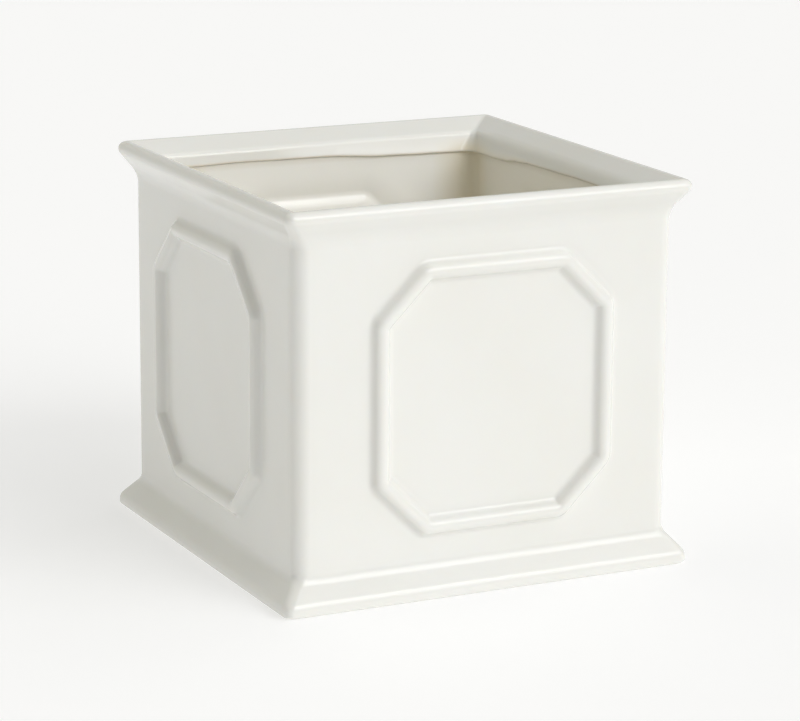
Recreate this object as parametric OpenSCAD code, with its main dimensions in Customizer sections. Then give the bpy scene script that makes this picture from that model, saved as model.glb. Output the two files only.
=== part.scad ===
/* [Walls] */
// Width across the plain outer walls
wall_w = 192; // [150:1:300]
// Height from the surface it stands on to the top of the rim
pot_h = 184; // [140:1:280]
// Thickness of the cast wall
wall_t = 11; // [8:0.1:13]
// Thickness of the floor over the recess in the underside
floor_t = 9; // [6:0.1:12]
// Radius of the outer walls' upright corners, seen from above
wall_corner_r = 6.5; // [3:0.5:12]
// Radius of the inner walls' upright corners, seen from above
inner_corner_r = 7; // [5:0.5:14]

/* [Rim moulding] */
// How far the rim stands out from the wall
rim_out = 6.5; // [5:0.1:10]
// Radius of the rim's rounded nose
rim_nose_r = 3.8; // [3:0.1:4.5]
// Radius of the cove under the nose
rim_cove_r = 14; // [8:0.5:16]
// Angle from upright that the cove turns to
rim_cove_a = 35; // [30:1:38]
// Radius of the nose's corners, seen from above
rim_corner_r = 3.5; // [2:0.5:10]
// Radius of the corners of the rim's top, seen from above
rim_top_corner_r = 1.5; // [1:0.5:5]
// Fall of the rim's top towards the inside, in degrees
rim_fall_a = 25; // [15:1:30]

/* [Lip] */
// How far the bend between rim top and lip lies inside the wall's outer face
lip_in = 11; // [9:0.1:14]
// Radius of that bend
lip_bend_r = 3.5; // [2:0.5:6]
// Height of the lip below the bend
lip_drop = 8.5; // [6:0.1:10]
// How far the lip's lower edge stands inside the inner wall
lip_step = 1.5; // [1:0.1:2.5]
// Radius of the trimmed lower edge
lip_edge_r = 0.4; // [0.3:0.1:0.6]
// Radius of the bend's corners, seen from above
lip_corner_r = 3.5; // [2:0.5:7]

/* [Base moulding] */
// How far the base stands out from the wall
base_out = 7.8; // [6:0.1:10]
// Height of the plinth, from the foot up to where its nose turns in
plinth_h = 3; // [2.5:0.1:8]
// Radius of the base's rounded nose
base_nose_r = 6; // [4:0.1:7]
// Radius of the cove between wall and slope
base_cove_r = 8; // [6:0.5:12]
// Angle from upright of the base's slope
base_slope_a = 40; // [35:1:42]
// Radius of the base's corners, seen from above
base_corner_r = 4.5; // [3.5:0.5:12]
// Radius of the plinth's bottom edge
foot_edge_r = 1.8; // [0.6:0.1:2.2]
// Width of the flat foot that goes round the underside
foot_w = 15; // [13:0.5:20]
// Depth of the recess inside the foot
recess_h = 2; // [1:0.1:3]
// How far the inner wall runs out above the floor
inner_flare = 2; // [0:0.1:3]
// Radius between inner wall and floor
floor_fillet_r = 7; // [4:0.5:12]

/* [Octagon panels] */
// From the wall's side to the middle of the bead
panel_side = 39; // [30:0.5:50]
// From the top of the rim down to the middle of the bead
panel_top = 32.6; // [30:0.1:45]
// From the surface it stands on up to the middle of the bead
panel_bottom = 33.3; // [30:0.1:45]
// Width and height of each cut corner
panel_cut = 22.5; // [10:0.5:30]
// Height of the bead above the wall
bead_h = 4.1; // [2:0.1:4.8]
// Radius of the bead's rounded back
bead_r = 3.9; // [3:0.1:5]
// Radius of the fillets beside the bead
bead_fillet_r = 4.1; // [3:0.1:5]
// Depth of the hollow behind the bead, on the inner wall
hollow_h = 1.8; // [1:0.1:3.5]
// Radius of that hollow's bottom
hollow_r = 7; // [5:0.1:9]

/* [Foot pads] */
// Diameter of a pad
pad_d = 10; // [8:0.5:12]
// From the side of the recess to the side of a pad
pad_inset = 1; // [0.5:0.1:2]
// Height that the pads hold the foot above what the pot stands on
foot_gap = 0.3; // [0.2:0.1:0.8]

/* [Hidden] */
$fn = 48;
// Facets round each corner, seen from above
corner_n = 6;
// Depth that the bead's solid runs into what it stands on
bead_root = 1;
// How far the bead's outline is sunk, so that its edge is a clean line
bead_sink = 0.05;

half = wall_w / 2;
inner_half = half - wall_t;
foot_half = half + base_out - foot_edge_r;
recess_half = foot_half - foot_w;
recess_z = foot_gap + recess_h;
floor_z = recess_z + floor_t;

// Points along an arc, from angle a0 to a1, in n steps
function arc(c, r, a0, a1, n) =
    [for (k = [0:n]) let (a = a0 + (a1 - a0) * k / n) c + r * [cos(a), sin(a)]];

// Length of the straight run between a cove and a nose that stand "out" apart
function run(out, nose_r, cove_r, a) = (out - (nose_r + cove_r) * (1 - cos(a))) / sin(a);

// Profile points with the plan radius that the corner has there
function at_r(points, r) = [for (p = points) [p.x, p.y, r]];

// The same, with the plan radius changing evenly with distance from the middle
function from_to(points, w0, r0, w1, r1) =
    [for (p = points) [p.x, p.y, r0 + (r1 - r0) * (p.x - w0) / (w1 - w0)]];

// Plinth, base nose, slope and cove, from the foot upward
base_nose = [half + base_out - base_nose_r, foot_gap + plinth_h];
base_run = run(base_out, base_nose_r, base_cove_r, base_slope_a);
base_cove_z = base_nose.y + (base_nose_r + base_cove_r) * sin(base_slope_a)
    + base_run * cos(base_slope_a);
foot_edge = [foot_half, foot_gap + foot_edge_r];
plinth = concat(
    arc(foot_edge, foot_edge_r, -90, 0, 3),
    arc(base_nose, base_nose_r, 0, base_slope_a, 4));
base_cove = arc([half + base_cove_r, base_cove_z], base_cove_r, 180 + base_slope_a, 180, 5);

// Cove and nose of the rim, then its top falling inward
rim_nose = [half + rim_out - rim_nose_r, pot_h - rim_nose_r];
rim_run = run(rim_out, rim_nose_r, rim_cove_r, rim_cove_a);
rim_cove_z = rim_nose.y - (rim_nose_r + rim_cove_r) * sin(rim_cove_a)
    - rim_run * cos(rim_cove_a);
rim_cove = arc([half + rim_cove_r, rim_cove_z], rim_cove_r, 180, 180 - rim_cove_a, 5);
nose = arc(rim_nose, rim_nose_r, -rim_cove_a, 90 + rim_fall_a, 12);

// Lip: the bend, the face below it that leans a little inward, the trimmed edge and the step
// out to the wall
lip_half = inner_half - lip_step;
lip_lean_a = atan((lip_half - half + lip_in) / lip_drop);
nose_end = nose[len(nose) - 1];
bend = [half - lip_in, nose_end.y - (nose_end.x - half + lip_in) * tan(rim_fall_a)];
bend_run = lip_bend_r * tan((90 + lip_lean_a - rim_fall_a) / 2);
bend_mid = bend + bend_run * [cos(rim_fall_a), sin(rim_fall_a)]
    + lip_bend_r * [sin(rim_fall_a), -cos(rim_fall_a)];
bend_arc = arc(bend_mid, lip_bend_r, 90 + rim_fall_a, 180 + lip_lean_a, 4);
lip_z = bend.y - lip_drop;
lip_edge = arc([lip_half + lip_edge_r * tan(45 - lip_lean_a / 2), lip_z + lip_edge_r],
    lip_edge_r, 180 + lip_lean_a, 270, 2);
ledge_r = lip_step / 2;
ledge = arc([inner_half - ledge_r, lip_z - ledge_r], ledge_r, 90, 0, 3);

// Inner wall, which runs out a little above the floor, and the floor's fillet
flare_z = floor_z + floor_fillet_r;
inner_base = concat(
    [[inner_half, max(base_cove_z, flare_z + inner_flare)]],
    arc([inner_half + inner_flare - floor_fillet_r, flare_z], floor_fillet_r, 0, -90, 5));

// The whole section from the recess in the underside round to the floor
section = concat(
    at_r([[recess_half - recess_h, recess_z], [recess_half, foot_gap]],
        base_corner_r - foot_edge_r),
    at_r(plinth, base_corner_r),
    from_to(base_cove, half + base_out, base_corner_r, half, wall_corner_r),
    from_to(rim_cove, half, wall_corner_r, half + rim_out, rim_corner_r),
    from_to(nose, half + rim_out, rim_corner_r, nose_end.x, rim_top_corner_r),
    from_to(bend_arc, bend_arc[0].x, rim_top_corner_r, bend_arc[4].x, lip_corner_r),
    at_r(concat(lip_edge, ledge, inner_base), inner_corner_r));

// A square ring with rounded corners, counter-clockwise from above
function ring(p) = [
    for (q = [0:3], k = [0:corner_n])
        let (a = 90 * (q + k / corner_n),
             side = [q == 0 || q == 3 ? 1 : -1, q < 2 ? 1 : -1] * (p.x - p.z))
        [side.x + p.z * cos(a), side.y + p.z * sin(a), p.y]];

// Rings joined one after the other, with a flat face over each end
module loft(profile) {
    m = 4 * (corner_n + 1);
    n = len(profile);
    sides = [
        for (i = [0:n - 2], j = [0:m - 1])
            let (a = i * m + j, b = i * m + (j + 1) % m)
            each [[a, a + m, b + m], [a, b + m, b]]];
    ends = [[for (j = [0:m - 1]) j], [for (j = [m - 1:-1:0]) (n - 1) * m + j]];
    polyhedron([for (p = profile) each ring(p)], concat(sides, ends), convexity = 10);
}

// Octagon through the middle of the bead: corners on the face, from its middle line
panel_half = half - panel_side;
panel_z0 = panel_bottom;
panel_z1 = pot_h - panel_top;
octagon = [
    [panel_half, panel_z0 + panel_cut], [panel_half, panel_z1 - panel_cut],
    [panel_half - panel_cut, panel_z1], [panel_cut - panel_half, panel_z1],
    [-panel_half, panel_z1 - panel_cut], [-panel_half, panel_z0 + panel_cut],
    [panel_cut - panel_half, panel_z0], [panel_half - panel_cut, panel_z0]];

// Outward directions of the octagon's corners, so that offsets stay parallel to the sides
mitre = [
    for (i = [0:7])
        let (a = 22.5 + 45 * (i + 7), n0 = [cos(a - 22.5), sin(a - 22.5)],
             n1 = [cos(a + 22.5), sin(a + 22.5)])
        (n0 + n1) / (1 + n0 * n1)];

// Half-round of height h and radius r with a fillet at each side, as [across, height]
function bead_section(h, r, fillet) =
    let (rise = fillet - h + r,
         reach = sqrt(pow(fillet + r, 2) - pow(rise, 2)),
         a = atan2(rise, reach))
    concat(
        [[-reach, -bead_root]],
        arc([-reach, fillet - bead_sink], fillet, -90, -a, 4),
        arc([0, h - r - bead_sink], r, 180 - a, a, 8),
        arc([reach, fillet - bead_sink], fillet, a - 180, -90, 4),
        [[reach, -bead_root]]);

// Octagonal bead round the front, back and side faces, at a distance from the middle
module panel_beads(face, h, r, fillet) {
    outline = bead_section(h, r, fillet);
    s = len(outline);
    points = [
        for (i = [0:7], p = outline)
            let (c = octagon[i] + p.x * mitre[i]) [c.x, -face - p.y, c.y]];
    faces = [
        for (i = [0:7], j = [0:s - 1])
            let (k = (j + 1) % s, a = i * s, b = ((i + 1) % 8) * s)
            each [[a + j, b + j, b + k], [a + j, b + k, a + k]]];
    for (turn = [0:90:270])
        rotate([0, 0, turn]) polyhedron(points, faces, convexity = 6);
}

// One casting: floor, walls, base moulding, rim and lip, with its beads and their hollows
module pot_body() {
    color("ivory")
        difference() {
            union() {
                loft(section);
                panel_beads(half, bead_h, bead_r, bead_fillet_r);
            }
            panel_beads(inner_half, hollow_h, hollow_r, bead_fillet_r);
        }
}

// Soft disc stuck in one corner of the recess, as thick as it takes to reach below the foot
module foot_pad(i) {
    reach = recess_half - recess_h - pad_inset - pad_d / 2;
    color("whitesmoke")
        rotate([0, 0, 90 * i])
            translate([reach, reach, 0])
                cylinder(h = recess_z, d = pad_d);
}

pot_body();
for (i = [1:4])
    foot_pad(i);
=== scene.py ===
import math

import bmesh
import bpy
from mathutils import Matrix, Vector


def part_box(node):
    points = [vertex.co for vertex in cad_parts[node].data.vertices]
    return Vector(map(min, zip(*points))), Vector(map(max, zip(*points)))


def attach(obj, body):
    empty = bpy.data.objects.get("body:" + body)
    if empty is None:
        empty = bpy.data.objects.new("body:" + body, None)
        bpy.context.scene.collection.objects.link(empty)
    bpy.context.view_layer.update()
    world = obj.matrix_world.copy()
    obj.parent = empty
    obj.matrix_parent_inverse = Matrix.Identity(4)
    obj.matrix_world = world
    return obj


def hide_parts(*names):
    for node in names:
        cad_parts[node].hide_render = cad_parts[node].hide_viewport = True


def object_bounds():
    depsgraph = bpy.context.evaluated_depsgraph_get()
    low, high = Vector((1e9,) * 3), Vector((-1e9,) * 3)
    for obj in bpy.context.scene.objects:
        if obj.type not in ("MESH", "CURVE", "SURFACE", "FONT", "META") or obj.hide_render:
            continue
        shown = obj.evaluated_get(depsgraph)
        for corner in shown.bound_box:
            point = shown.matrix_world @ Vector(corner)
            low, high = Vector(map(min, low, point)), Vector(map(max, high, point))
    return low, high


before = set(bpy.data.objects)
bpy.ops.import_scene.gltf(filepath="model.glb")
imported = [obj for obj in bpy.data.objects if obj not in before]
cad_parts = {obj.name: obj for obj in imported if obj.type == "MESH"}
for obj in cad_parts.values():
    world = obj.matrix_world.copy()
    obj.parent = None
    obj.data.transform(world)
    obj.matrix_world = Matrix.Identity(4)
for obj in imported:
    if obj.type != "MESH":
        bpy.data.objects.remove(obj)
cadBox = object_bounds()
mm = 0.001
print("frame loaded:", sorted(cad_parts))


# Angles are in degrees all through this script

def sin(angle):
    return math.sin(math.radians(angle))


def cos(angle):
    return math.cos(math.radians(angle))


def tan(angle):
    return math.tan(math.radians(angle))


# Camera, at the photograph's angle: distances in millimetres
cameraValues = {
    "azimuth": -26.15,
    "elevation": 13.76,
    "roll": 0.41,
    "distance": 1534.9,
    "target": (2.34, 0.0, 85.8),
    "lens": 143.8,
    "sensorWidth": 36.0,
    "clipEnd": 50.0,  # metres
}


def addCamera(values):
    azimuth = values["azimuth"]
    elevation = values["elevation"]
    roll = values["roll"]
    back = Vector((sin(azimuth) * cos(elevation), -cos(azimuth) * cos(elevation), sin(elevation)))
    level = Vector((cos(azimuth), sin(azimuth), 0.0))
    lift = back.cross(level)
    right = level * cos(roll) + lift * sin(roll)
    up = lift * cos(roll) - level * sin(roll)
    data = bpy.data.cameras.new("photoCamera")
    data.lens = values["lens"]
    data.sensor_width = values["sensorWidth"]
    data.clip_end = values["clipEnd"]
    camera = bpy.data.objects.new("photoCamera", data)
    bpy.context.scene.collection.objects.link(camera)
    turn = Matrix((right, up, back)).transposed().to_4x4()
    turn.translation = Vector(values["target"]) * mm + back * values["distance"] * mm
    camera.matrix_world = turn
    bpy.context.scene.camera = camera


addCamera(cameraValues)
print("camera placed")


# Materials

def newMaterial(name):
    material = bpy.data.materials.new(name)
    material.use_nodes = True
    nodes = material.node_tree.nodes
    return material, nodes, material.node_tree.links, nodes["Principled BSDF"]


def addNoise(nodes, links, scale, detail=2.0):
    place = nodes.new("ShaderNodeTexCoord")
    noise = nodes.new("ShaderNodeTexNoise")
    noise.inputs["Scale"].default_value = scale
    noise.inputs["Detail"].default_value = detail
    links.new(place.outputs["Object"], noise.inputs["Vector"])
    return noise.outputs["Fac"]


def addLayer(nodes, name):
    layer = nodes.new("ShaderNodeAttribute")
    layer.attribute_name = name
    return layer.outputs["Fac"]


def addMath(nodes, links, operation, *values):
    node = nodes.new("ShaderNodeMath")
    node.operation = operation
    for socket, value in zip(node.inputs, values):
        if isinstance(value, float):
            socket.default_value = value
        else:
            links.new(value, socket)
    return node.outputs["Value"]


def mapRange(nodes, links, value, low, high, toLow, toHigh):
    node = nodes.new("ShaderNodeMapRange")
    links.new(value, node.inputs["Value"])
    node.inputs["From Min"].default_value = low
    node.inputs["From Max"].default_value = high
    node.inputs["To Min"].default_value = toLow
    node.inputs["To Max"].default_value = toHigh
    return node.outputs["Result"]


def mixColors(nodes, links, factor, first, second):
    node = nodes.new("ShaderNodeMix")
    node.data_type = "RGBA"
    links.new(factor, node.inputs["Factor"])
    for socket, color in ((node.inputs["A"], first), (node.inputs["B"], second)):
        if isinstance(color, tuple):
            socket.default_value = color
        else:
            links.new(color, socket)
    return node.outputs["Result"]


def addBump(nodes, links, height, strength, distance, normal=None):
    node = nodes.new("ShaderNodeBump")
    node.inputs["Strength"].default_value = strength
    node.inputs["Distance"].default_value = distance
    links.new(height, node.inputs["Height"])
    if normal:
        links.new(normal, node.inputs["Normal"])
    return node.outputs["Normal"]


# Ivory glaze: a pattern's size is per metre, and a bump is its strength and its height in metres
glazeValues = {
    "color": (0.91, 0.91, 0.87, 1.0),
    "cloudColor": (0.895, 0.89, 0.84, 1.0),
    "cloudSize": 14.0,
    "cloudRange": (0.35, 0.65),
    "innerPaintedLightColor": (0.965, 0.96, 0.92, 1.0),  # painted light: a whiter colour on the inner walls and the inner floor, to lighten them
    "innerShadeColor": (0.94, 0.86, 0.67, 1.0),  # painted shade: darker and warmer in the inner corners and on the inner walls
    "cornerShadeReach": (0.060, 0.086),  # metres from the pot's middle where the painted corner shade begins and is fullest
    "thinGlazeAndShadeColor": (0.80, 0.755, 0.66, 1.0),  # where the glaze runs thin over the lip's edge, and painted shade under the lip
    "roughness": (0.14, 0.19),
    "patchSize": 30.0,  # patches of more and less roughness
    "patchRange": (0.3, 0.7),
    "innerRoughness": 0.04,
    "waveSize": 22.0,  # slow waves in the casting
    "waveBump": (0.35, 0.002),
    "grainSize": 420.0,  # fine grain of the glaze
    "grainBump": (0.05, 0.0003),
    "ior": 1.5,
    "depth": 0.1,  # share of the light that goes into the glaze
    "depthRadius": (0.004, 0.003, 0.002),  # metres that its red, green and blue go
}


def cornerCloseness(nodes, links, reach):
    # 0 along the walls, rising to 1 in the pot's upright corners, where the shade is painted
    place = nodes.new("ShaderNodeTexCoord")
    parts = nodes.new("ShaderNodeSeparateXYZ")
    links.new(place.outputs["Object"], parts.inputs["Vector"])
    across = [addMath(nodes, links, "ABSOLUTE", parts.outputs[axis]) for axis in ("X", "Y")]
    return mapRange(nodes, links, addMath(nodes, links, "MINIMUM", *across), *reach, 0.0, 1.0)


def makeGlaze(values):
    material, nodes, links, shader = newMaterial("ivoryGlaze")
    cloud = addNoise(nodes, links, values["cloudSize"], detail=3.0)
    shade = mapRange(nodes, links, cloud, *values["cloudRange"], 0.0, 1.0)
    glaze = mixColors(nodes, links, shade, values["color"], values["cloudColor"])
    inner = addLayer(nodes, "innerGlaze")
    # Painted light: the inner walls get a whiter colour
    glaze = mixColors(nodes, links, inner, glaze, values["innerPaintedLightColor"])
    # Painted shade: darker, warmer colour in the inner corners and on each inner wall
    corners = cornerCloseness(nodes, links, values["cornerShadeReach"])
    paintedShade = addMath(nodes, links, "MAXIMUM", addLayer(nodes, "innerWallShade"), corners)
    paintedShade = addMath(nodes, links, "MULTIPLY", paintedShade, inner)
    glaze = mixColors(nodes, links, paintedShade, glaze, values["innerShadeColor"])
    # Thin glaze on the lip's edge, and painted shade under the lip, in one colour
    glaze = mixColors(nodes, links, addLayer(nodes, "thinGlazeAndShade"), glaze, values["thinGlazeAndShadeColor"])
    links.new(glaze, shader.inputs["Base Color"])
    patch = addNoise(nodes, links, values["patchSize"])
    rough = mapRange(nodes, links, patch, *values["patchRange"], *values["roughness"])
    gloss = addMath(nodes, links, "MULTIPLY", inner, values["roughness"][0] - values["innerRoughness"])
    links.new(addMath(nodes, links, "SUBTRACT", rough, gloss), shader.inputs["Roughness"])
    wave = addNoise(nodes, links, values["waveSize"], detail=1.0)
    grain = addNoise(nodes, links, values["grainSize"], detail=1.0)
    waved = addBump(nodes, links, wave, *values["waveBump"])
    links.new(addBump(nodes, links, grain, *values["grainBump"], waved), shader.inputs["Normal"])
    shader.inputs["IOR"].default_value = values["ior"]
    shader.inputs["Subsurface Weight"].default_value = values["depth"]
    shader.inputs["Subsurface Radius"].default_value = values["depthRadius"]
    shader.inputs["Subsurface Scale"].default_value = 1.0
    return material


# Bare clay, on the ring that the pot was fired on
bisqueValues = {
    "color": (0.78, 0.74, 0.66, 1.0),
    "speckColor": (0.70, 0.65, 0.56, 1.0),
    "speckSize": 900.0,
    "speckBump": (0.3, 0.0004),
    "roughness": 0.85,
}


def makeBisque(values):
    material, nodes, links, shader = newMaterial("bareClay")
    speck = addNoise(nodes, links, values["speckSize"], detail=4.0)
    clay = mixColors(nodes, links, speck, values["color"], values["speckColor"])
    links.new(clay, shader.inputs["Base Color"])
    links.new(addBump(nodes, links, speck, *values["speckBump"]), shader.inputs["Normal"])
    shader.inputs["Roughness"].default_value = values["roughness"]
    return material


# Milky rubber of the bumpers
rubberValues = {
    "color": (0.80, 0.80, 0.78, 1.0),
    "cloudColor": (0.72, 0.72, 0.70, 1.0),
    "cloudSize": 300.0,
    "cloudRange": (0.3, 0.7),
    "roughness": (0.35, 0.5),
}


def makeRubber(values):
    material, nodes, links, shader = newMaterial("clearRubber")
    cloud = addNoise(nodes, links, values["cloudSize"])
    rubber = mixColors(nodes, links, cloud, values["color"], values["cloudColor"])
    links.new(rubber, shader.inputs["Base Color"])
    rough = mapRange(nodes, links, cloud, *values["cloudRange"], *values["roughness"])
    links.new(rough, shader.inputs["Roughness"])
    return material


glazeMaterial = makeGlaze(glazeValues)
bisqueMaterial = makeBisque(bisqueValues)
rubberMaterial = makeRubber(rubberValues)
print("materials made")


# Pot: one casting, in millimetres
potValues = {
    "wallHalf": 96.0,
    "wallThickness": 11.0,
    "wallCorner": 7.5,
    "innerCorner": 7.0,
    "rimOut": 6.5,
    "rimNose": 3.8,
    "rimCove": 14.0,
    "rimCoveAngle": 35.0,
    "rimCorner": 5.0,
    "rimTopCorner": 1.5,
    "rimFall": 25.0,
    "lipIn": 11.0,
    "lipBend": 3.5,
    "lipDrop": 8.5,
    "lipStep": 1.5,
    "lipEdge": 0.4,
    "lipCorner": 3.5,
    "lipLine": 0.9,  # how far the thin-glaze colour reaches up the lip from its edge
    "lipFade": (1.6, 1.0, 0.6),  # where it is none, faint and full, in shares of lipLine
    "faintGlazeAndShade": (0.35, 0.5),  # its amounts there, and where the ledge meets the wall, which is painted shade
    "belowLip": (1.0, 2.5),  # how far under the ledge two rings keep the wall straight
    "plinth": 3.0,
    "baseNose": 6.0,
    "baseCove": 8.0,
    "baseSlope": 40.0,
    "baseCorner": 4.5,
    "footEdge": 1.8,
    "footWidth": 15.0,
    "recess": 2.0,
    "floorThickness": 9.0,
    "innerFlare": 2.0,
    "floorFillet": 7.0,
    "innerGlaze": (5.0, 3.0),  # it starts this far above the foot and ends this far above the lip's edge
    "innerMargin": 0.1,  # slack outside the hollows' floors
    "innerWallShade": {"back": 0.05, "right": 0.35, "front": 0.2, "left": 0.2},  # least painted shade on each inner wall, most on the dim right wall
    "weld": 0.001,
    "cornerSteps": 8,
    "sideSteps": 36,
    "arcSteps": {
        "footEdge": 5, "baseNose": 8, "baseCove": 9, "rimCove": 10, "rimNose": 18,
        "lipBend": 8, "lipEdge": 3, "ledge": 4, "floorFillet": 10,
    },
}

# Octagon on each side, in millimetres
panelValues = {
    "side": 39.0,  # from the wall's side to the middle of the bead
    "top": 32.6,
    "bottom": 33.3,
    "cut": 22.5,
    "corner": 5.0,  # softness of the octagon's corners, at the middle of the bead
    "innerCorner": 1.5,  # the least softness, on the bead's inner side
    "cornerSteps": 6,
    "height": 4.1,
    "radius": 3.9,
    "backSteps": 7,
    "slopes": (60.0, 60.0),  # steepest slope of its outer and inner flank
    "eases": (3.5, 3.5),  # how softly its outer and inner foot run out: 1 is a straight slope
    "footSteps": 12,
    "collar": 1.5,  # flat strip beside the bead
    "shift": (0.0, -2.7, 2.6, 0.0),  # off the wall's middle: back, left, front and right
}

# Shallow hollow that the casting keeps behind each bead, on the inner walls
hollowValues = {
    "side": 39.0,
    "top": 32.6,
    "bottom": 33.3,
    "cut": 28.0,
    "corner": 9.0,
    "innerCorner": 1.5,
    "cornerSteps": 8,
    "height": 1.75,
    "radius": 5.0,
    "backSteps": 7,
    "slopes": (17.0, 24.0),
    "eases": (2.2, 2.0),
    "footSteps": 12,
    "collar": 1.0,
    "shift": (3.0, -2.7, 2.6, 0.0),
}

# Unevenness of the hand-trimmed lip: places along each side, with an amount at each of them
lipValues = {
    "edgeRise": {  # how far the edge is raised
        "back": (
            (-84, 1.2), (-72, 1.8), (-43, 2.3), (-15, 1.9), (1, 1.7), (35, -0.1), (55, -0.5), (84, -0.9),
        ),
        "right": (
            (-84, 2.2), (-60, 2.6), (-22, 2.8), (-5, 2.4), (24, 1.8), (37, 0.9), (50, -0.4), (62, -0.9),
            (84, -0.9),
        ),
        "front": ((-84, 0.2), (-50, 0.5), (-20, 0.0), (10, -0.5), (45, 0.0), (84, 0.5)),
        "left": ((-84, 0.2), (-55, -0.5), (-15, -0.2), (20, 0.4), (60, 1.0), (84, 1.2)),
    },
    "bendShift": {  # how far the bend lies outward, up the slope
        "back": ((-84, -0.1), (-32, 0.0), (-2, 0.5), (41, 0.45), (84, 0.3)),
        "right": ((-84, 0.0), (84, 0.5)),
        "front": ((-84, 0.0), (84, 0.0)),
        "left": ((-84, 0.0), (84, -0.4)),
    },
    "bendSoftness": {  # 0 for the radius in potValues, 1 for softRadius
        "back": ((-84, 0.0), (84, 0.0)),
        "right": ((-84, 1.0), (60, 1.0), (84, 0.0)),
        "front": ((-84, 0.5), (84, 1.0)),
        "left": ((-84, 0.5), (84, 0.0)),
    },
    "softRadius": 8.0,
}


def arc(center, radius, start, end, steps):
    angles = [start + (end - start) * i / steps for i in range(steps + 1)]
    return [(center[0] + radius * cos(a), center[1] + radius * sin(a)) for a in angles]


def straightRun(out, noseRadius, coveRadius, angle):
    # Length of the straight slope between a nose and a cove that step out this far together
    return (out - (noseRadius + coveRadius) * (1 - cos(angle))) / sin(angle)


def withCorner(points, start, end=None):
    # Adds the corner radius seen from above, changing evenly along the points
    end = start if end is None else end
    last = max(len(points) - 1, 1)
    return [(x, z, start + (end - start) * i / last) for i, (x, z) in enumerate(points)]


def baseSection(v, baseHalf, foot):
    slope = v["baseSlope"]
    steps = v["arcSteps"]
    footHalf = baseHalf - v["footEdge"]
    recessHalf = footHalf - v["footWidth"]
    recess = [(recessHalf - v["recess"], foot + v["recess"]), (recessHalf, foot)]
    edge = arc((footHalf, foot + v["footEdge"]), v["footEdge"], -90, 0, steps["footEdge"])
    noseMiddle = (baseHalf - v["baseNose"], foot + v["plinth"])
    nose = arc(noseMiddle, v["baseNose"], 0, slope, steps["baseNose"])
    run = straightRun(baseHalf - v["wallHalf"], v["baseNose"], v["baseCove"], slope)
    coveZ = noseMiddle[1] + (v["baseNose"] + v["baseCove"]) * sin(slope) + run * cos(slope)
    coveMiddle = (v["wallHalf"] + v["baseCove"], coveZ)
    cove = arc(coveMiddle, v["baseCove"], 180 + slope, 180, steps["baseCove"])
    return {
        "recess": withCorner(recess, v["baseCorner"] - v["footEdge"]),
        "plinth": withCorner(edge + nose, v["baseCorner"]),
        "baseCove": withCorner(cove, v["baseCorner"], v["wallCorner"]),
    }


def rimSection(v, top):
    slope = v["rimCoveAngle"]
    steps = v["arcSteps"]
    noseMiddle = (v["wallHalf"] + v["rimOut"] - v["rimNose"], top - v["rimNose"])
    nose = arc(noseMiddle, v["rimNose"], -slope, 90 + v["rimFall"], steps["rimNose"])
    run = straightRun(v["rimOut"], v["rimNose"], v["rimCove"], slope)
    coveZ = noseMiddle[1] - (v["rimNose"] + v["rimCove"]) * sin(slope) - run * cos(slope)
    coveMiddle = (v["wallHalf"] + v["rimCove"], coveZ)
    cove = arc(coveMiddle, v["rimCove"], 180, 180 - slope, steps["rimCove"])
    return {
        "rimCove": withCorner(cove, v["wallCorner"], v["rimCorner"]),
        "nose": withCorner(nose, v["rimCorner"], v["rimTopCorner"]),
    }


def lipSection(v, noseEnd):
    # From the slope behind the nose round the bend, down the lip's face and back to the inner wall
    fall = v["rimFall"]
    steps = v["arcSteps"]
    inner = v["wallHalf"] - v["wallThickness"]
    sharpZ = noseEnd[1] - (noseEnd[0] - v["wallHalf"] + v["lipIn"]) * tan(fall)
    sharp = (v["wallHalf"] - v["lipIn"], sharpZ)  # where slope and face would meet without the bend
    lipHalf = inner - v["lipStep"]
    lean = math.degrees(math.atan((lipHalf - sharp[0]) / v["lipDrop"]))
    run = v["lipBend"] * tan((90 + lean - fall) / 2)
    bendMiddle = (
        sharp[0] + run * cos(fall) + v["lipBend"] * sin(fall),
        sharp[1] + run * sin(fall) - v["lipBend"] * cos(fall),
    )
    bend = arc(bendMiddle, v["lipBend"], 90 + fall, 180 + lean, steps["lipBend"])
    lipZ = sharp[1] - v["lipDrop"]
    edge = v["lipEdge"]
    face = [(lipHalf - i * v["lipLine"] * tan(lean), lipZ + i * v["lipLine"]) for i in v["lipFade"]]
    edgeMiddle = (lipHalf + edge * tan(45 - lean / 2), lipZ + edge)
    arris = arc(edgeMiddle, edge, 180 + lean, 270, steps["lipEdge"])
    radius = v["lipStep"] / 2
    ledge = arc((inner - radius, lipZ - radius), radius, 90, 0, steps["ledge"])
    below = [(inner, lipZ - radius - drop) for drop in v["belowLip"]]
    return {
        "bend": withCorner(bend, v["rimTopCorner"], v["lipCorner"]),
        "lipEdge": withCorner(face + arris, v["innerCorner"]),
        "ledge": withCorner(ledge, v["innerCorner"]),
        "belowLip": withCorner(below, v["innerCorner"]),
    }


def innerSection(v, foot, coveZ):
    inner = v["wallHalf"] - v["wallThickness"]
    flareZ = foot + v["recess"] + v["floorThickness"] + v["floorFillet"]
    start = (inner, max(coveZ, flareZ + v["innerFlare"]))
    filletMiddle = (inner + v["innerFlare"] - v["floorFillet"], flareZ)
    fillet = arc(filletMiddle, v["floorFillet"], 0, -90, v["arcSteps"]["floorFillet"])
    return {"innerBase": withCorner([start] + fillet, v["innerCorner"])}


def potSection(values, low, high):
    # Half width, height and corner radius at each station, from the recess up and back down inside
    section = baseSection(values, high.x / mm, low.z / mm)
    section.update(rimSection(values, high.z / mm))
    section.update(lipSection(values, section["nose"][-1]))
    section.update(innerSection(values, low.z / mm, section["baseCove"][-1][1]))
    return section


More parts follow.
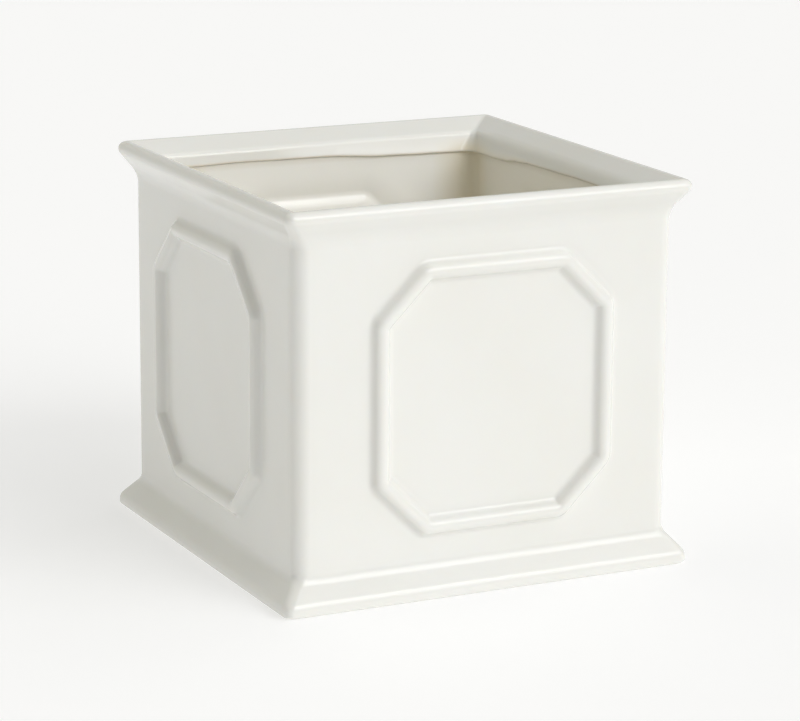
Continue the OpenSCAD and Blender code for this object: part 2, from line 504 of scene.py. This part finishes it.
def squareRing(station, steps, sideSteps):
    # Points of a square with rounded corners, counter-clockwise from above
    width, height, radius = station
    points = []
    for quarter in range(4):
        side = Matrix.Rotation(math.radians(90 * quarter), 3, "Z")
        for x, y in arc((width - radius, width - radius), radius, 0, 90, steps):
            points.append(side @ Vector((x, y, height)) * mm)
        for i in range(1, sideSteps):
            x = (width - radius) * (1 - 2 * i / sideSteps)
            points.append(side @ Vector((x, width, height)) * mm)
    return points


def ringEdges(bm, ring):
    return [bm.edges.get((ring[i - 1], ring[i])) for i in range(len(ring))]


def placeRing(ring, points):
    for vertex, point in zip(ring, points):
        vertex.co = point


def growRing(bm, ring, points):
    made = bmesh.ops.extrude_edge_only(bm, edges=ringEdges(bm, ring))["geom"]
    fresh = {v for v in made if isinstance(v, bmesh.types.BMVert)}
    grown = [next(e.other_vert(v) for e in v.link_edges if e.other_vert(v) in fresh) for v in ring]
    placeRing(grown, points)
    return grown


def growRings(bm, outlines):
    # An open tube through the outlines, which starts from a circle
    first = bmesh.ops.create_circle(bm, segments=len(outlines[0]), radius=1.0)["verts"]
    placeRing(first, outlines[0])
    rings = [first]
    for points in outlines[1:]:
        rings.append(growRing(bm, rings[-1], points))
    return rings


def capRing(bm, ring):
    bmesh.ops.contextual_create(bm, geom=ring + ringEdges(bm, ring))


def beadHalf(values, slope, ease):
    # From the top of the round back to a foot that flattens smoothly
    radius = values["radius"]
    x0 = radius * sin(slope)
    z0 = values["height"] - radius + radius * cos(slope)
    run = ease * z0 / tan(slope)
    steps = values["footSteps"]
    back = arc((0.0, values["height"] - radius), radius, 90, 90 - slope, values["backSteps"])
    foot = [(x0 + run * i / steps, z0 * (1 - i / steps) ** ease) for i in range(1, steps + 1)]
    return back + foot + [(x0 + run + values["collar"], 0.0)]


def beadSection(values):
    outer, inner = [beadHalf(values, *shape) for shape in zip(values["slopes"], values["eases"])]
    return outer[::-1] + [(-x, z) for x, z in inner[1:]]


def octagonRing(values, half, face, station, shift):
    # The bead's outline on the front wall, at a distance across it and a height off it
    across, lift = station
    wide = half - values["side"] + across
    low = values["bottom"] - across
    high = cadBox[1].z / mm - values["top"] + across
    cut = values["cut"] + across * (2 - math.sqrt(2))
    corner = max(values["corner"] + across, values["innerCorner"])
    corners = (
        (wide, low + cut), (wide, high - cut), (wide - cut, high), (cut - wide, high),
        (-wide, high - cut), (-wide, low + cut), (cut - wide, low), (wide - cut, low),
    )
    reach = corner / cos(22.5)
    points = []
    for i, (x, z) in enumerate(corners):
        outward = 45 * i - 22.5  # direction from the octagon's middle to this corner
        center = (x - reach * cos(outward), z - reach * sin(outward))
        for x2, z2 in arc(center, corner, 45 * i - 45, 45 * i, values["cornerSteps"]):
            points.append(Vector((x2 + shift, -face - lift, z2)) * mm)
    return points


def wallFaces(upper, lower, quarter, values):
    # The flat faces between two rings on one side
    count = values["cornerSteps"] + values["sideSteps"]
    start = quarter * count + values["cornerSteps"]
    faces = []
    for i in range(start, start + values["sideSteps"]):
        j = (i + 1) % len(upper)
        corners = {upper[i], upper[j], lower[i], lower[j]}
        faces.append(next(f for f in upper[i].link_faces if set(f.verts) == corners))
    return faces


def addPanel(bm, wall, quarter, values, half, face):
    # Opens the wall, builds the bead or its hollow from the outside in, and closes round it
    normal = wall[0].normal.copy()
    edges = {e for f in wall for e in f.edges}
    border = [e for e in edges if sum(f in wall for f in e.link_faces) == 1]
    bmesh.ops.delete(bm, geom=wall, context="FACES")
    turn = Matrix.Rotation(math.radians(90 * (quarter + 2)), 3, "Z")
    outlines = [
        [turn @ p for p in octagonRing(values, half, face, station, values["shift"][quarter])]
        for station in beadSection(values)
    ]
    rings = growRings(bm, outlines)
    capRing(bm, rings[-1])
    bmesh.ops.triangle_fill(bm, use_beauty=True, edges=border + ringEdges(bm, rings[0]), normal=normal)


def sideOf(point):
    if abs(point.x) > abs(point.y):
        return ("right", point.y) if point.x > 0 else ("left", point.y)
    return ("back", point.x) if point.y > 0 else ("front", point.x)


def amountAt(table, point):
    # The table's amount at a place on the pot's side, changing smoothly between its entries
    side, along = sideOf(point / mm)
    for (start, low), (end, high) in zip(table[side], table[side][1:]):
        if along <= end:
            break
    part = min(max((along - start) / (end - start), 0.0), 1.0)
    return low + (high - low) * part * part * (3 - 2 * part)


def bendLip(rings, softRings, fall):
    # Softens the bend at the top of the lip and moves it along the slope
    for ring, softer in zip(rings, softRings):
        for vertex, point in zip(ring, softer):
            place = vertex.co.lerp(point, amountAt(lipValues["bendSoftness"], vertex.co))
            shift = amountAt(lipValues["bendShift"], vertex.co) * mm
            scale = 1 + shift / max(abs(place.x), abs(place.y))
            vertex.co = Vector((place.x * scale, place.y * scale, place.z + shift * tan(fall)))


def raiseLip(edgeRings, ledgeRings, bendEnd):
    # Raises the lip's edge along the lip's face, and the ledge under it straight up
    low = [vertex.co.copy() for vertex in edgeRings[2]]
    for ring in edgeRings + ledgeRings:
        for vertex, top, bottom in zip(ring, bendEnd, low):
            rise = amountAt(lipValues["edgeRise"], bottom) * mm
            lean = (top.co - bottom) / (top.co.z - bottom.z)
            vertex.co += lean * rise if ring in edgeRings else Vector((0.0, 0.0, rise))


def markThinGlazeAndShade(rings, starts, layer, faint):
    # Thin glaze colour, full on the lip's edge and faint above it; full on the start of the ledge and faint
    # where the ledge meets the wall, as painted shade under the lip
    marks = [(ring, 1.0) for ring in rings[starts["lipEdge"] + 2:starts["ledge"] + 2]]
    marks += zip((rings[starts["lipEdge"] + 1], rings[starts["belowLip"] - 1]), faint)
    for ring, amount in marks:
        for vertex in ring:
            vertex[layer] = amount


def markFoot(rings):
    # The flat ring under the pot has the second material, bare clay
    foot = set(rings[1] + rings[2])
    for face in {f for vertex in foot for f in vertex.link_faces}:
        if set(face.verts) <= foot:
            face.material_index = 1


def markInnerGlaze(bm, layer, shadeLayer, amounts, half, bottom, top):
    # Inside: glossier glaze, its painted light and each wall's painted shade
    for vertex in bm.verts:
        if max(abs(vertex.co.x), abs(vertex.co.y)) < half and bottom < vertex.co.z < top:
            vertex[layer] = 1.0
            vertex[shadeLayer] = amounts[sideOf(vertex.co)[0]]


def makePiece(bm, name, meshName, *materials):
    mesh = bpy.data.meshes.new(meshName)
    bm.to_mesh(mesh)
    bm.free()
    piece = bpy.data.objects.new(name, mesh)
    bpy.context.scene.collection.objects.link(piece)
    for material in materials:
        mesh.materials.append(material)
    mesh.polygons.foreach_set("use_smooth", [True] * len(mesh.polygons))
    piece.modifiers.new("weightedNormals", "WEIGHTED_NORMAL")
    return piece


def makePot(values, panel, hollow):
    low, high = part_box("pot_body")
    section = potSection(values, low, high)
    order = (
        "recess", "plinth", "baseCove", "rimCove", "nose",
        "bend", "lipEdge", "ledge", "belowLip", "innerBase",
    )
    stations = []
    starts = {}
    for name in order:
        starts[name] = len(stations)
        stations += section[name]
    bm = bmesh.new()
    thinAndShade = bm.verts.layers.float.new("thinGlazeAndShade")
    inside = bm.verts.layers.float.new("innerGlaze")
    paintedShade = bm.verts.layers.float.new("innerWallShade")
    rings = growRings(bm, [squareRing(s, values["cornerSteps"], values["sideSteps"]) for s in stations])
    capRing(bm, rings[0])
    capRing(bm, rings[-1])
    bmesh.ops.recalc_face_normals(bm, faces=bm.faces)
    markThinGlazeAndShade(rings, starts, thinAndShade, values["faintGlazeAndShade"])
    markFoot(rings)

    edge, ledge = starts["lipEdge"], starts["ledge"]
    softer = potSection({**values, "lipBend": lipValues["softRadius"]}, low, high)["bend"]
    softRings = [squareRing(s, values["cornerSteps"], values["sideSteps"]) for s in softer]
    bendLip(rings[starts["bend"]:edge], softRings, values["rimFall"])
    raiseLip(rings[edge:ledge], rings[ledge:starts["belowLip"]], rings[edge - 1])

    half = values["wallHalf"]
    inner = half - values["wallThickness"]
    for quarter in range(4):
        wall = wallFaces(rings[starts["rimCove"] - 1], rings[starts["rimCove"]], quarter, values)
        addPanel(bm, wall, quarter, panel, half, half)
        wall = wallFaces(rings[starts["innerBase"] - 1], rings[starts["innerBase"]], quarter, values)
        addPanel(bm, wall, quarter, hollow, half, inner)
    bmesh.ops.remove_doubles(bm, verts=bm.verts, dist=values["weld"] * mm)
    bmesh.ops.recalc_face_normals(bm, faces=bm.faces)

    insideHalf = (inner + hollow["height"] + values["innerMargin"]) * mm
    bottom = low.z + values["innerGlaze"][0] * mm
    top = stations[ledge][1] * mm + values["innerGlaze"][1] * mm
    markInnerGlaze(bm, inside, paintedShade, values["innerWallShade"], insideHalf, bottom, top)
    return makePiece(bm, "potBody", "potBody", glazeMaterial, bisqueMaterial)


pot = makePot(potValues, panelValues, hollowValues)
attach(pot, "root")
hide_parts("pot_body")
print("pot made:", len(pot.data.polygons), "faces")

# Soft bumpers in the recess, in millimetres
padValues = {"edge": 0.7, "edgeSteps": 5, "segments": 48}


def makePad(name, values):
    low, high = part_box(name)
    middle = (low + high) / 2
    radius = (high.x - low.x) / 2
    bm = bmesh.new()
    bmesh.ops.create_cone(
        bm, cap_ends=True, segments=values["segments"], radius1=radius, radius2=radius, depth=high.z - low.z
    )
    bmesh.ops.translate(bm, verts=bm.verts, vec=middle)
    bottom = [e for e in bm.edges if all(v.co.z < middle.z for v in e.verts)]
    bmesh.ops.bevel(
        bm, geom=bottom, offset=values["edge"] * mm, segments=values["edgeSteps"],
        affect="EDGES", profile=0.5, material=-1,
    )
    return makePiece(bm, "bumper" + name[-1], name, rubberMaterial)


for name in sorted(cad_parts):
    if name.startswith("foot_pad"):
        pad = makePad(name, padValues)
        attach(pad, "root")
        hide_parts(name)
print("bumpers made")


# Floor that the pot stands on, its size in metres
floorValues = {
    "size": 15.0,
    "color": (0.64, 0.64, 0.64, 1.0),
    "roughness": 0.9,
    "glow": 0.435,
    "glowColor": (1.0, 1.0, 1.0, 1.0),
}

# Strength, azimuth, elevation, softness and warmth of each softbox
lightValues = {
    "keyLight": (0.83, 26.0, 29.0, 36.0, 0.0),
    "keyLeft": (0.44, 8.0, 30.0, 36.0, 0.0),
    "keyRight": (0.26, 50.0, 30.0, 36.0, 0.0),
    "highFill": (0.49, 30.0, 45.0, 50.0, 0.0),
    "farRight": (0.50, 85.0, 48.0, 44.0, 0.0),
    "backSweep": (1.0, 180.0, 30.0, 120.0, 0.06),
    "backLeft": (0.31, -145.0, 25.0, 60.0, 0.15),
    "leftFill": (0.35, -90.0, 60.0, 50.0, 0.09),
}
greenShare = 0.125  # a warm light loses this much green for each blue


def addFloor(values):
    bm = bmesh.new()
    bmesh.ops.create_grid(bm, x_segments=1, y_segments=1, size=values["size"])
    mesh = bpy.data.meshes.new("floor")
    bm.to_mesh(mesh)
    bm.free()
    floor = bpy.data.objects.new("floor", mesh)
    bpy.context.scene.collection.objects.link(floor)
    material, nodes, links, shader = newMaterial("paleFloor")
    shader.inputs["Base Color"].default_value = values["color"]
    shader.inputs["Roughness"].default_value = values["roughness"]
    shader.inputs["Specular IOR Level"].default_value = 0.0
    shader.inputs["Emission Color"].default_value = values["glowColor"]
    shader.inputs["Emission Strength"].default_value = values["glow"]
    mesh.materials.append(material)


def addSun(name, strength, azimuth, elevation, softness, warmth):
    data = bpy.data.lights.new(name, "SUN")
    data.energy = strength
    data.color = (1.0, 1.0 - warmth * greenShare, 1.0 - warmth)
    data.angle = math.radians(softness)
    light = bpy.data.objects.new(name, data)
    bpy.context.scene.collection.objects.link(light)
    light.rotation_euler = (math.radians(90 - elevation), 0.0, math.radians(azimuth))


addFloor(floorValues)
for name, values in lightValues.items():
    addSun(name, *values)
bpy.context.scene.view_settings.view_transform = "Standard"
print("stage and lights made")
